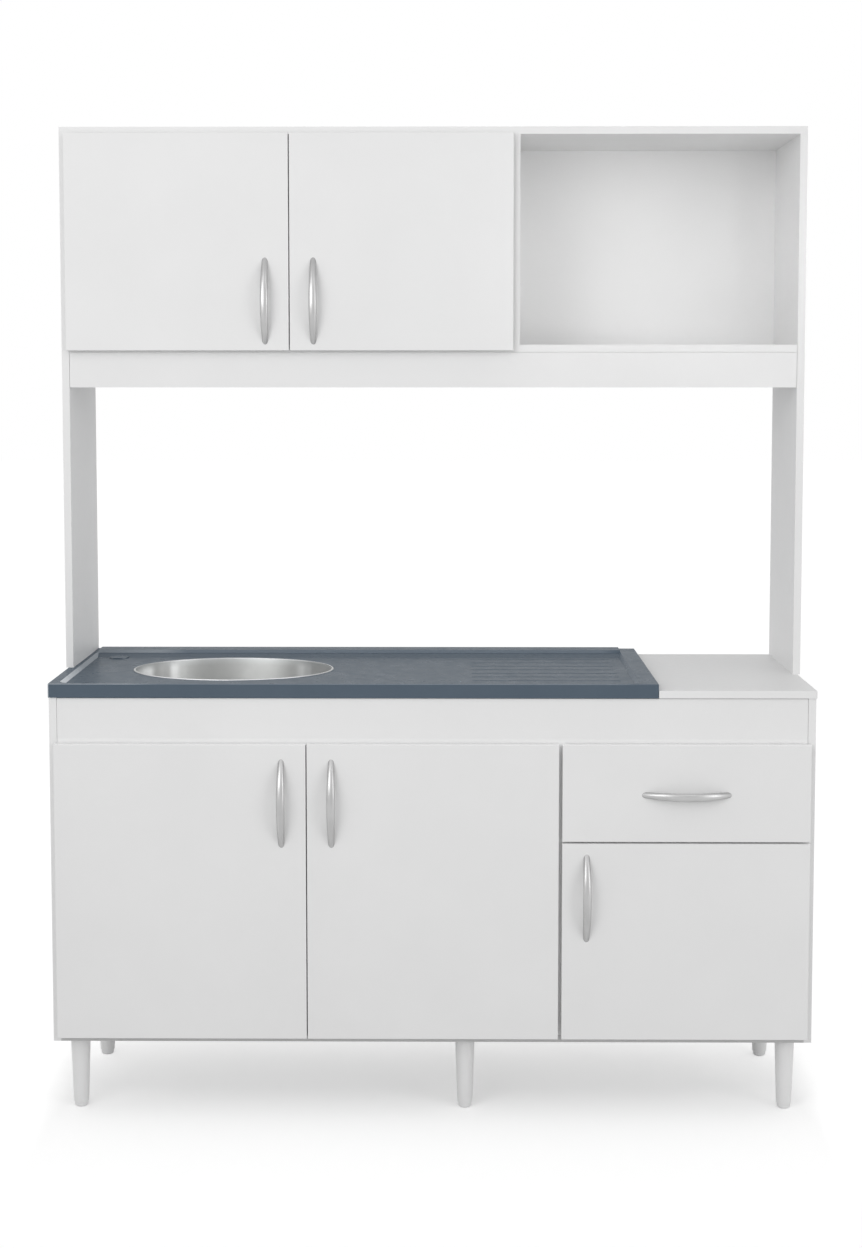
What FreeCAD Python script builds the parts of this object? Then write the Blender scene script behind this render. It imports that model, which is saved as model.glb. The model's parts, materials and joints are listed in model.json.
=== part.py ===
import FreeCAD, Part
import Sketcher
import math
import os
import re

# Kitchenette unit: a base cabinet on six conical legs, a moulded sink top with an
# oval steel bowl and a short plain worktop beside it, and an upper unit that stands
# on the two worktops by its own long side boards.
# X runs to the right, Y to the wall behind and Z up from the floor. The origin lies
# on the floor, midway between the two ends and between the wall and the handles.

SIZES = {
    # sheet material and fits
    "board": 15,
    "hardboard": 3,
    "loose_gap": 0.3,
    "seam": 0.45,
    "peg_fit": 0.05,
    "overrun": 1,
    # worktops
    "sink_length": 1200,
    "side_length": 310,
    "top_depth": 500,
    "top_overhang": 2,
    "front_overhang": 3,
    "top_corner": 4,
    "top_edge": 1.5,
    # base cabinet
    "leg_height": 146,
    "carcass_height": 690.5,
    "rail_height": 93.5,
    "rail_setback": 1,
    "rail_drop": 1.4,
    "right_bay": 478,
    "door_gap": 4.3,
    "door_edge": 1,
    "overlay": 4,
    "rail_overlay": 3,
    "bottom_reveal": 12,
    "meeting_gap": 2.2,
    "drawer_rail_depth": 70,
    "drawer_front_height": 191.3,
    "drawer_split": 4,
    # upper unit
    "upper_depth": 290,
    "upper_overhang": 4,
    "work_space": 591.5,
    "valance_height": 72,
    "valance_setback": 1.5,
    "upper_height": 455,
    "niche_width": 566,
    "divider_overlay": 1,
    "top_overlay": 1,
    "floor_overlay": 12,
    "shelf_setback": 32,
    "shelf_height": 205,
    # legs
    "leg_top_radius": 19.75,
    "leg_foot_radius": 15.25,
    "leg_top_round": 1,
    "glide_radius": 13.5,
    "glide_height": 10,
    "glide_round": 2.5,
    "stud_radius": 4,
    "stud_in_leg": 20,
    "stud_in_board": 11,
    "leg_inset": 46,
    "leg_front_inset": 41,
    "leg_spacing": 297,
    "middle_leg_place": 66,
    # handles
    "handle_length": 178,
    "handle_reach": 27,
    "handle_width": 16,
    "handle_tip_width": 12,
    "handle_thickness": 8,
    "handle_tip_thickness": 10,
    "handle_inset": 48,
    "handle_end": 11,
    "tall_handle_end": 27,
    "short_handle_end": 19.5,
    "drawer_handle_drop": 2.5,
    # hinges
    "cup_radius": 17.5,
    "cup_depth": 12,
    "cup_wall": 1,
    "cup_edge": 3,
    "wing_length": 62,
    "wing_width": 12,
    "wing_thickness": 1.2,
    "pin_radius": 1.5,
    "pin_inset": 9,
    "pin_setback": 7,
    "eye_radius": 2.5,
    "arm_width": 12,
    "arm_thickness": 2,
    "arm_lead": 26.4,
    "arm_lead_angle": 19,
    "arm_knee": 12.1,
    "arm_knee_angle": 71,
    "arm_standoff": 4,
    "arm_tail_start": 38,
    "arm_tail_end": 76,
    "plate_width": 18,
    "plate_start": 42,
    "plate_end": 74,
    "hinge_inset": 90,
    # drawer
    "drawer_side_gap": 1.5,
    "drawer_side": 12,
    "drawer_depth": 400,
    "drawer_height": 125,
    "drawer_lift": 15,
    "drawer_groove": 7,
    "drawer_bottom_lift": 10,
    "drawer_bottom_groove": 6,
    "runner_height": 16,
    "runner_lift": 55,
    "runner_setback": 5,
    "runner_length": 390,
    # moulded sink top
    "sink_height": 27.5,
    "tray_depth": 7,
    "tray_slope": 7,
    "tray_corner": 26,
    "left_border": 19,
    "right_border": 36,
    "front_rim": 10,
    "rim_round": 1.5,
    "deck_depth": 28.5,
    "lip_depth": 46,
    "lip_rise": 3,
    "ledge_back": 52.5,
    "ledge_front": 66,
    "ledge_rise": 4,
    "ledge_foot": 94,
    "tap_inset": 73,
    "tap_setback": 400,
    "tap_radius": 20.5,
    "tap_rise": 2.4,
    "tap_round": 1,
    "rib_count": 7,
    "rib_length": 329.3,
    "rib_pitch": 48,
    "rib_height": 0.6,
    "rib_radius": 19,
    "rib_end": 51.3,
    "rib_front": 92,
    # bowl and waste
    "bowl_length": 408,
    "bowl_width": 300,
    "bowl_inset": 340,
    "bowl_setback": 241,
    "bowl_depth": 130,
    "bowl_wall": 1.2,
    "bowl_lip": 3,
    "bowl_lip_round": 0.9,
    "bowl_draft": 22,
    "bowl_corner": 42,
    "waste_hole_radius": 30,
    "waste_flange_radius": 41,
    "waste_flange": 2.5,
    "waste_wall": 2.5,
    "waste_body": 34,
    "waste_nut_radius": 38,
    "waste_nut_height": 9,
    "tail_radius": 20,
    "tail_length": 45,
    "strainer_hole_radius": 3,
    "strainer_ring_radius": 14,
    "strainer_hole_count": 8,
    "strainer_plate": 2,
    "strainer_sink": 9,
    "strainer_wall": 1.2,
    # dowels and shelf pins
    "dowel_radius": 3,
    "dowel_in_top": 11,
    "dowel_in_upright": 28,
    "dowel_inset": 60,
    "shelf_pin_radius": 2.5,
    "shelf_pin_stand": 9,
    "shelf_pin_bite": 8,
    "shelf_pin_inset": 45,
}

# Places and sizes that follow from those above and from the lines before them.
PLACES = {
    "total_length": "sink_length + side_length",
    "base_width": "total_length - 2 * top_overhang",
    "carcass_depth": "top_depth - front_overhang",
    "wall": "(carcass_depth + door_gap + board + handle_reach) / 2",
    "top_front": "wall - top_depth",
    "carcass_front": "wall - carcass_depth",
    "door_back": "carcass_front - door_gap",
    "board_depth": "carcass_depth - hardboard",
    "panel_front": "wall - hardboard",
    "base_left": "0 - base_width / 2",
    "inner_left": "base_left + board",
    "inner_right": "base_width / 2 - board",
    "inner_width": "base_width - 2 * board",
    "bay_start": "inner_right - right_bay",
    "divider_left": "bay_start - board",
    "carcass_top": "leg_height + carcass_height",
    "rail_bottom": "carcass_top - rail_height",
    "top_left": "0 - total_length / 2",
    "top_right": "total_length / 2",
    "sink_right": "top_left + sink_length",
    "side_top": "carcass_top + board",
    "rim_top": "carcass_top + sink_height",
    "tray_floor": "rim_top - tray_depth",
    "ledge_level": "tray_floor + ledge_rise",
    "lip_top": "rim_top + lip_rise",
    "doors_top": "rail_bottom + rail_overlay",
    "doors_bottom": "leg_height + bottom_reveal",
    "tall_height": "doors_top - doors_bottom",
    "left_door_start": "inner_left - overlay",
    "middle_door_end": "divider_left + overlay",
    "tall_width": "(middle_door_end - left_door_start - meeting_gap) / 2",
    "left_door_end": "left_door_start + tall_width",
    "middle_door_start": "middle_door_end - tall_width",
    "right_front_start": "bay_start - overlay",
    "right_front_end": "inner_right + overlay",
    "right_front_width": "right_bay + 2 * overlay",
    "drawer_front_bottom": "doors_top - drawer_front_height",
    "right_door_top": "drawer_front_bottom - drawer_split",
    "right_door_height": "right_door_top - doors_bottom",
    "drawer_rail_bottom": "drawer_front_bottom - (drawer_split + board) / 2",
    "upper_width": "total_length + 2 * upper_overhang",
    "upper_left": "0 - upper_width / 2",
    "upper_inner_left": "upper_left + board",
    "upper_inner_right": "upper_width / 2 - board",
    "upper_inner_width": "upper_width - 2 * board",
    "upper_front": "wall - upper_depth",
    "upper_board_depth": "upper_depth - hardboard",
    "upper_door_back": "upper_front - door_gap",
    "valance_bottom": "side_top + work_space",
    "upper_bottom": "valance_bottom + valance_height",
    "niche_floor": "upper_bottom + board",
    "upper_top": "upper_bottom + upper_height",
    "niche_ceiling": "upper_top - board",
    "niche_left": "upper_inner_right - niche_width",
    "upper_divider_left": "niche_left - board",
    "upper_doors_bottom": "niche_floor - floor_overlay",
    "upper_doors_height": "niche_ceiling + top_overlay - upper_doors_bottom",
    "upper_doors_start": "upper_inner_left - overlay + divider_overlay",
    "upper_side_overlay": "upper_inner_left - upper_doors_start",
    "upper_doors_end": "upper_divider_left + divider_overlay",
    "upper_door_width": "(upper_doors_end - upper_doors_start - meeting_gap) / 2",
    "upper_left_door_end": "upper_doors_start + upper_door_width",
    "upper_right_door_start": "upper_doors_end - upper_door_width",
    "shelf_bottom": "niche_floor + shelf_height",
    "shelf_pin_centre": "shelf_bottom - shelf_pin_radius",
    "drawer_left": "bay_start + drawer_side_gap",
    "drawer_right": "inner_right - drawer_side_gap",
    "drawer_floor": "drawer_rail_bottom + board + drawer_lift",
    "drawer_inner_left": "drawer_left + drawer_side",
    "drawer_inner_width": "right_bay - 2 * (drawer_side_gap + drawer_side)",
    "bottom_groove": "drawer_floor + drawer_bottom_lift",
    "runner_bottom": "drawer_floor + runner_lift",
    "runner_thickness": "drawer_side_gap + drawer_groove - loose_gap",
    "front_legs": "carcass_front + leg_front_inset",
    "rear_legs": "front_legs + leg_spacing",
    "side_legs": "base_width / 2 - leg_inset",
    "stud_bottom": "leg_height - stud_in_leg",
    "upright_seat": "(total_length + upper_inner_width) / 4",
    "bowl_floor": "tray_floor - bowl_depth",
}

doc = FreeCAD.newDocument("kitchenette")
vector = FreeCAD.Vector
pieces = []


def fill_sheet(name, cells):
    """A sheet with one named cell for each size."""
    sheet = doc.addObject("Spreadsheet::Sheet", name)
    for row, (alias, text) in enumerate(cells.items(), start=1):
        sheet.set(f"A{row}", text)
        sheet.setAlias(f"A{row}", alias)
    doc.recompute()
    return sheet


def with_sheet(text, names, sheet_name):
    """The same formula, with the sheet's name before each of its cells."""
    return re.sub(r"\b[a-z_]+\b", lambda word: f"{sheet_name}.{word[0]}" if word[0] in names else word[0], text)


def in_full(text):
    return with_sheet(with_sheet(text, SIZES, "Sizes"), PLACES, "Places")


sizes = fill_sheet("Sizes", {name: str(number) for name, number in SIZES.items()})
places = fill_sheet("Places", {name: "=" + with_sheet(text, SIZES, "Sizes") for name, text in PLACES.items()})


def value(name):
    """A size or a place as a number."""
    return float((sizes if name in SIZES else places).get(name))


def place(thing, corner):
    for axis, text in zip("xyz", corner):
        thing.setExpression(f"Placement.Base.{axis}", in_full(text))


def keep(thing, label):
    """Marks a finished piece, which is written under its label."""
    thing.Label = label
    pieces.append(thing)


def block(name, corner, size):
    """A plain box from its lowest corner, with its sizes along X, Y and Z."""
    box = doc.addObject("Part::Box", name)
    for prop, text in zip(("Length", "Width", "Height"), size):
        box.setExpression(prop, in_full(text))
    place(box, corner)
    return box


def rod(name, start, radius, length, axis):
    """A round bar that begins at a point and runs along one axis."""
    bar = doc.addObject("Part::Cylinder", name)
    bar.setExpression("Radius", in_full(radius))
    bar.setExpression("Height", in_full(length))
    turns = {"x": (vector(0, 1, 0), 90), "y": (vector(1, 0, 0), -90), "z": (vector(0, 0, 1), 0)}
    bar.Placement = FreeCAD.Placement(vector(), FreeCAD.Rotation(*turns[axis]))
    place(bar, start)
    return bar


def cut_from(name, base, tools):
    together = doc.addObject("Part::MultiFuse", f"{name}_tools")
    together.Shapes = tools
    result = doc.addObject("Part::Cut", name)
    result.Base = base
    result.Tool = together
    return result


def group(label, parts):
    """Like pieces that share one node, each still a solid of its own."""
    bundle = doc.addObject("Part::Compound", label)
    bundle.Links = parts
    keep(bundle, label)


def eased(name, thing, radius_name, chosen):
    """Rounds those edges of a piece that the test picks."""
    doc.recompute()
    radius = value(radius_name)
    rounded = doc.addObject("Part::Fillet", name)
    rounded.Base = thing
    rounded.Edges = [(number, radius, radius)
                     for number, edge in enumerate(thing.Shape.Edges, start=1) if chosen(edge.BoundBox)]
    return rounded


def near(first, second):
    return abs(first - second) < value("peg_fit")


def board(label, corner, size):
    keep(block(label, corner, size), label)


def worked(label, shape):
    """A piece whose form is worked out in code from the sheets."""
    thing = doc.addObject("Part::Feature", label)
    thing.Shape = shape
    keep(thing, label)


# Base cabinet

LEG_ROWS = {"front": "front_legs", "rear": "rear_legs"}
LEG_COLUMNS = {"left": "0 - side_legs", "middle": "middle_leg_place", "right": "side_legs"}


def leg_spots():
    """The name of each leg and where its axis stands."""
    return [(f"{row}_{column}", across, depth)
            for row, depth in LEG_ROWS.items() for column, across in LEG_COLUMNS.items()]


def base_cabinet():
    side = ("board", "carcass_depth", "carcass_height")
    board("base_side_left", ("base_left", "carcass_front", "leg_height"), side)
    board("base_side_right", ("inner_right", "carcass_front", "leg_height"), side)
    board("front_rail", ("inner_left + seam", "carcass_front + rail_setback", "rail_bottom"),
          ("inner_width - 2 * seam", "board", "rail_height - rail_drop"))
    board("rear_rail", ("inner_left", "panel_front - board", "rail_bottom"),
          ("inner_width", "board", "rail_height"))
    board("base_back", ("inner_left", "panel_front", "leg_height"),
          ("inner_width", "hardboard", "carcass_height"))
    board("drawer_rail", ("bay_start", "carcass_front", "drawer_rail_bottom"),
          ("right_bay", "drawer_rail_depth", "board"))

    bottom = block("base_bottom_blank", ("inner_left", "carcass_front", "leg_height"),
                   ("inner_width", "board_depth", "board"))
    holes = [rod(f"{name}_stud_hole", (across, depth, "leg_height - overrun"), "stud_radius + peg_fit",
                 "stud_in_board + loose_gap + overrun", "z") for name, across, depth in leg_spots()]
    keep(cut_from("base_bottom", bottom, holes), "base_bottom")

    divider = block("base_divider_blank", ("divider_left", "carcass_front", "leg_height + board"),
                    ("board", "board_depth", "carcass_height - board"))
    notches = [block(f"divider_{name}_notch", ("divider_left", start, "rail_bottom"),
                     ("board", depth, "rail_height"))
               for name, start, depth in (("front", "carcass_front", "board + rail_setback"),
                                          ("rear", "panel_front - board", "board"))]
    keep(cut_from("base_divider", divider, notches), "base_divider")


# Legs: a turned cone on a stud, over a narrower glide

def outline(sketch, points):
    """Joins corners into a closed outline and ties each one to its two formulas."""
    count = len(points)
    for i in range(count):
        after = (i + 1) % count
        sketch.addGeometry(Part.LineSegment(vector(i, i * i, 0), vector(after, after * after, 0)), False)
    for i, corner in enumerate(points):
        sketch.addConstraint(Sketcher.Constraint("Coincident", i - 1 if i else count - 1, 2, i, 1))
        for kind, text in zip(("DistanceX", "DistanceY"), corner):
            number = sketch.addConstraint(Sketcher.Constraint(kind, -1, 1, i, 1, 0.0))
            sketch.renameConstraint(number, f"{kind}_{i}")
            sketch.setExpression(f"Constraints.{kind}_{i}", in_full(text))


def turned(name, points):
    """A body turned about its own upright axis from a half outline."""
    body = doc.addObject("PartDesign::Body", name)
    sketch = body.newObject("Sketcher::SketchObject", f"{name}_profile")
    plane = [part for part in body.Origin.OriginFeatures if part.Role == "XZ_Plane"][0]
    sketch.AttachmentSupport = [(plane, "")]
    sketch.MapMode = "FlatFace"
    outline(sketch, points)
    turn = body.newObject("PartDesign::Revolution", f"{name}_turn")
    turn.Profile = sketch
    turn.ReferenceAxis = (sketch, ["V_Axis"])
    turn.Angle = 360
    return body


def legs():
    cone = (
        ("0", "glide_height"),
        ("leg_foot_radius", "glide_height"),
        ("leg_top_radius", "leg_height - leg_top_round"),
        ("leg_top_radius - leg_top_round", "leg_height"),
        ("stud_radius + peg_fit", "leg_height"),
        ("stud_radius + peg_fit", "stud_bottom - loose_gap"),
        ("0", "stud_bottom - loose_gap"),
    )
    glide = (
        ("0", "0"),
        ("glide_radius - glide_round", "0"),
        ("glide_radius", "glide_round"),
        ("glide_radius", "glide_height"),
        ("0", "glide_height"),
    )
    glides = []
    studs = []
    for name, across, depth in leg_spots():
        leg = turned(f"leg_{name}", cone)
        place(leg, (across, depth, "0"))
        keep(leg, f"leg_{name}")
        foot = turned(f"glide_{name}", glide)
        place(foot, (across, depth, "0"))
        glides.append(foot)
        studs.append(rod(f"stud_{name}", (across, depth, "stud_bottom"), "stud_radius",
                         "stud_in_leg + stud_in_board", "z"))
    group("leg_glides", glides)
    group("leg_studs", studs)


# Upper unit

DOWEL_DEPTHS = {"front": "upper_front + dowel_inset", "rear": "wall - dowel_inset"}
UPRIGHT_SIDES = {"left": ("0 - upright_seat", "rim_top"), "right": ("upright_seat", "side_top")}
PIN_DEPTHS = {"front": "upper_front + shelf_setback + shelf_pin_inset", "rear": "panel_front - shelf_pin_inset"}


def dowels(name, side, wider):
    """The two dowels under one side board, or with a wider radius their holes."""
    across, seat = UPRIGHT_SIDES[side]
    return [rod(f"{name}_{side}_{row}", (across, depth, f"{seat} - dowel_in_top - {wider}"),
                f"dowel_radius + {wider}", f"dowel_in_top + dowel_in_upright + 2 * {wider}", "z")
            for row, depth in DOWEL_DEPTHS.items()]


def pins_in(name, face, wider):
    """The two shelf pins that start inside one board, or their holes."""
    return [rod(f"{name}_{row}", (face, depth, "shelf_pin_centre"), f"shelf_pin_radius + {wider}",
                "shelf_pin_stand + shelf_pin_bite", "x")
            for row, depth in PIN_DEPTHS.items()]


def upper_unit():
    wide = ("upper_inner_width", "upper_board_depth", "board")
    board("upper_top", ("upper_inner_left", "upper_front", "niche_ceiling"), wide)
    board("upper_bottom", ("upper_inner_left + seam", "upper_front", "upper_bottom"),
          ("upper_inner_width - 2 * seam", "upper_board_depth", "board"))
    board("valance", ("upper_inner_left + seam", "upper_front + valance_setback", "valance_bottom"),
          ("upper_inner_width - 2 * seam", "board", "valance_height - seam"))
    board("upper_back", ("upper_inner_left", "panel_front", "upper_bottom"),
          ("upper_inner_width", "hardboard", "upper_height"))
    board("upper_shelf", ("upper_inner_left + loose_gap", "upper_front + shelf_setback", "shelf_bottom"),
          ("upper_divider_left - upper_inner_left - 2 * loose_gap", "upper_board_depth - shelf_setback",
           "board"))

    left_pins = "upper_inner_left - shelf_pin_bite"
    right_pins = "upper_divider_left - shelf_pin_stand"
    group("shelf_pins", pins_in("shelf_pin_left", left_pins, "0")
          + pins_in("shelf_pin_right", right_pins, "0"))
    group("upright_dowels", dowels("dowel", "left", "0") + dowels("dowel", "right", "0"))

    left = block("upright_left_blank", ("upper_left", "upper_front", "rim_top"),
                 ("board", "upper_depth", "upper_top - rim_top"))
    keep(cut_from("upright_left", left, dowels("left_upright_hole", "left", "peg_fit")
                  + pins_in("left_pin_hole", left_pins, "peg_fit")), "upright_left")
    right = block("upright_right_blank", ("upper_inner_right", "upper_front", "side_top"),
                  ("board", "upper_depth", "upper_top - side_top"))
    keep(cut_from("upright_right", right, dowels("right_upright_hole", "right", "peg_fit")), "upright_right")
    divider = block("upper_divider_blank", ("upper_divider_left", "upper_front", "niche_floor"),
                    ("board", "upper_board_depth", "niche_ceiling - niche_floor"))
    keep(cut_from("upper_divider", divider, pins_in("divider_pin_hole", right_pins, "peg_fit")),
         "upper_divider")


# Plain worktop on the right

def side_worktop():
    blank = block("side_worktop_blank", ("sink_right", "top_front", "carcass_top"),
                  ("side_length", "top_depth", "board"))
    bored = cut_from("side_worktop_bored", blank, dowels("right_top_hole", "right", "peg_fit"))
    right, front = value("top_right"), value("top_front")
    top = value("side_top")
    cornered = eased("side_worktop_cornered", bored, "top_corner",
                     lambda box: near(box.XMin, right) and near(box.YMax, front))
    edged = eased("side_worktop", cornered, "top_edge",
                  lambda box: near(box.ZMin, top) and box.YMin < front + value("top_corner") and
                  (near(box.YMin, front) or near(box.XMax, right)))
    keep(edged, "side_worktop")


# Moulded sink top: a slab with a sunk tray, a ledge and a low lip along the wall,
# drain ribs, a raised round mark for a tap and an oval hole for the bowl

def rounded_rectangle(low, high, radius, level):
    """A closed outline with four round corners at one level."""
    (x0, y0), (x1, y1) = low, high
    corners = (((x1 - radius, y0 + radius), -90), ((x1 - radius, y1 - radius), 0),
               ((x0 + radius, y1 - radius), 90), ((x0 + radius, y0 + radius), 180))
    arcs = [Part.Arc(Part.Circle(vector(*centre, level), vector(0, 0, 1), radius),
                     math.radians(start), math.radians(start + 90)) for centre, start in corners]
    edges = []
    for arc, following in zip(arcs, arcs[1:] + arcs[:1]):
        edges.append(arc.toShape())
        edges.append(Part.LineSegment(arc.EndPoint, following.StartPoint).toShape())
    return Part.Wire(edges)


def tray_cutter():
    """The tray's hollow, with walls that lean outwards up to the rim."""
    level, depth = value("tray_floor"), value("tray_depth")
    slope = value("tray_slope") / depth
    low = (value("top_left") + value("left_border"), value("top_front") + value("front_rim"))
    high = (value("sink_right") - value("right_border"), value("wall") - value("deck_depth"))
    rings = []
    for height in (0, depth + value("overrun")):
        inset = slope * (depth - height)
        rings.append(rounded_rectangle((low[0] + inset, low[1] + inset), (high[0] - inset, high[1] - inset),
                                       value("tray_corner") - inset, level + height))
    return Part.makeLoft(rings, True, True)


def ledge():
    """The ledge behind the tray, which rises in two slopes to the lip along the wall."""
    wall, floor, level, top = value("wall"), value("tray_floor"), value("ledge_level"), value("lip_top")
    base = value("carcass_top")
    left = value("top_left") + value("left_border")
    corners = ((wall, base), (wall, top), (wall - value("lip_depth"), top), (wall - value("ledge_back"), level),
               (wall - value("ledge_front"), level), (wall - value("ledge_foot"), floor),
               (wall - value("ledge_foot"), base))
    section = Part.makePolygon([vector(left, y, z) for y, z in corners + corners[:1]])
    return Part.Face(section).extrude(vector(value("sink_right") - value("right_border") - left, 0, 0))


def tap_mark():
    """The raised disc where a hole for a tap may be cut."""
    level, rise = value("tray_floor") - value("tray_depth"), value("tray_depth") + value("tap_rise")
    disc = Part.makeCylinder(value("tap_radius"), rise,
                             vector(value("top_left") + value("tap_inset"),
                                    value("top_front") + value("tap_setback"), level))
    upper = [edge for edge in disc.Edges if near(edge.BoundBox.ZMin, level + rise)]
    return disc.makeFillet(value("tap_round"), upper)


def drain_rib(number):
    """The upper half of a round bar with round ends, all but its top sunk below the tray's floor."""
    radius = value("rib_radius")
    length = value("rib_length") - 2 * radius
    start = vector(value("sink_right") - value("rib_end") - radius - length,
                   value("top_front") + value("rib_front") + number * value("rib_pitch"),
                   value("tray_floor") + value("rib_height") - radius)
    bar = Part.makeCylinder(radius, length, start, vector(1, 0, 0))
    ends = [Part.makeSphere(radius, start), Part.makeSphere(radius, start + vector(length, 0, 0))]
    upper = Part.makeBox(length + 2 * radius, 2 * radius, radius, start - vector(radius, radius, 0))
    return bar.multiFuse(ends).common(upper)


def oval(radius, height, level):
    """An upright oval bar, as long and as wide as the bowl for the bowl's half width."""
    bar = Part.makeCylinder(radius, height)
    return to_bowl(bar, level)


def to_bowl(shape, level):
    """Stretches a round shape to the bowl's oval and sets it at the bowl's place."""
    stretch = FreeCAD.Matrix()
    stretch.scale(vector(value("bowl_length") / value("bowl_width"), 1, 1))
    shape = shape.transformGeometry(stretch)
    shape.translate(vector(value("top_left") + value("bowl_inset"),
                           value("top_front") + value("bowl_setback"), level))
    return shape


def sink_top():
    slab = Part.makeBox(value("sink_length"), value("top_depth"), value("sink_height"),
                        vector(value("top_left"), value("top_front"), value("carcass_top")))
    top, front = value("rim_top"), value("top_front")
    corners = [edge for edge in slab.Edges if near(edge.BoundBox.YMax, front)
               and edge.BoundBox.ZLength > value("sink_height") / 2]
    slab = slab.makeFillet(value("top_corner"), corners).cut(tray_cutter())
    rims = [edge for edge in slab.Edges if near(edge.BoundBox.ZMin, top)
            and edge.BoundBox.YMin < value("wall") - value("peg_fit")]
    slab = slab.makeFillet(value("rim_round"), rims)
    ribs = [drain_rib(number) for number in range(int(value("rib_count")))]
    slab = slab.multiFuse([ledge(), tap_mark()] + ribs).removeSplitter()
    hole = oval(value("bowl_width") / 2 + value("bowl_wall") + value("loose_gap"),
                value("sink_height") + value("overrun"), value("carcass_top") - value("overrun"))
    slab = slab.cut(hole)
    for bar in dowels("left_top_hole", "left", "peg_fit"):
        doc.recompute()
        slab = slab.cut(bar.Shape)
    worked("sink_top", slab)


# Steel bowl and its waste

def bowl_form(offset):
    """The bowl's round form before it is stretched, larger all round by the offset."""
    depth = value("bowl_depth") + offset
    top = value("bowl_width") / 2 + offset
    cone = Part.makeCone(top - value("bowl_draft"), top, depth)
    rim = [edge for edge in cone.Edges if near(edge.BoundBox.ZMax, 0)]
    return cone.makeFillet(value("bowl_corner") + offset, rim), depth


def sink_bowl():
    wall = value("bowl_wall")
    outside, depth = bowl_form(wall)
    inside, hollow = bowl_form(0)
    lip = Part.makeCylinder(value("bowl_width") / 2 + value("bowl_lip"), wall, vector(0, 0, depth))
    rim = [edge for edge in lip.Edges if near(edge.BoundBox.ZMin, depth + wall)]
    lip = lip.makeFillet(value("bowl_lip_round"), rim)
    inside.translate(vector(0, 0, wall))
    mouth = Part.makeCylinder(value("bowl_width") / 2, wall, vector(0, 0, depth))
    shell = outside.fuse(lip).cut(inside).cut(mouth)
    shell = to_bowl(shell, value("tray_floor") - depth)
    centre = vector(value("top_left") + value("bowl_inset"), value("top_front") + value("bowl_setback"), 0)
    hole = Part.makeCylinder(value("waste_hole_radius"), hollow,
                             centre + vector(0, 0, value("bowl_floor") - hollow / 2))
    worked("sink_bowl", shell.cut(hole).removeSplitter())


def sink_waste():
    x = value("top_left") + value("bowl_inset")
    y = value("top_front") + value("bowl_setback")
    floor = value("bowl_floor")
    wall, body, flange = value("waste_wall"), value("waste_body"), value("waste_flange")
    outer = value("waste_hole_radius") - value("peg_fit")
    tail, end = value("tail_radius"), value("tail_length")
    low = floor - body

    def bar(radius, bottom, height):
        return Part.makeCylinder(radius, height, vector(x, y, bottom))

    pipe = bar(outer, low, body).fuse(bar(tail, low - end, end))
    pipe = pipe.cut(bar(outer - wall, low + wall, body - wall)).cut(bar(tail - wall, low - end, end + wall))
    worked("sink_waste", pipe)

    grate = floor - value("strainer_sink")
    under = grate - value("strainer_plate")
    cup = outer - wall - value("peg_fit")
    strainer = bar(value("waste_flange_radius"), floor, flange).fuse(bar(cup, under, floor - under))
    strainer = strainer.cut(bar(cup - value("strainer_wall"), grate, floor + flange - grate))
    count = int(value("strainer_hole_count"))
    for number in range(count):
        turn = 2 * math.pi * number / count
        arm = vector(math.cos(turn), math.sin(turn), 0) * value("strainer_ring_radius")
        strainer = strainer.cut(Part.makeCylinder(value("strainer_hole_radius"), grate - under,
                                                  vector(x, y, under) + arm))
    worked("waste_strainer", strainer)

    underside = floor - value("bowl_wall")
    height = value("waste_nut_height")
    nut = bar(value("waste_nut_radius"), underside - height, height)
    bore = bar(value("waste_hole_radius") + value("peg_fit"), underside - height, height)
    worked("waste_nut", nut.cut(bore))


# Hinges: a cup with its pin in the door, and an arm with its plate in the cabinet.
# Each is drawn about its pin for a door hung on the left, and mirrored for the right.

def hinge_cup():
    face = value("board") - value("pin_setback")
    radius = value("cup_radius") - value("peg_fit")
    inner = radius - value("cup_wall")
    centre = value("cup_edge") + value("cup_radius") - value("pin_inset")
    bottom = face - value("cup_depth")
    wing = value("wing_thickness")
    into = vector(0, 1, 0)
    cup = Part.makeCylinder(radius, value("cup_depth"), vector(centre, bottom, 0), into)
    wings = Part.makeBox(value("wing_width"), wing, value("wing_length"),
                         vector(centre - value("wing_width") / 2, face, 0 - value("wing_length") / 2))
    hollow = Part.makeCylinder(inner, value("cup_depth") - value("cup_wall") + wing,
                               vector(centre, bottom + value("cup_wall"), 0), into)
    reach = math.sqrt(inner ** 2 - (centre + value("pin_radius")) ** 2) + value("cup_wall") / 2
    pin = Part.makeCylinder(value("pin_radius"), 2 * reach, vector(0, 0, 0 - reach))
    return cup.fuse(wings).cut(hollow).fuse(pin)


def strip(start, end, width, thickness):
    """A flat strip between two points of a bent arm, with round ends."""
    run = end - start
    flat = Part.makeBox(run.Length, thickness, width, vector(0, 0 - thickness / 2, 0 - width / 2))
    flat.Placement = FreeCAD.Placement(start, FreeCAD.Rotation(vector(1, 0, 0), run))
    knee = Part.makeCylinder(thickness / 2, width, end - vector(0, 0, width / 2))
    return flat.fuse(knee)


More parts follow.
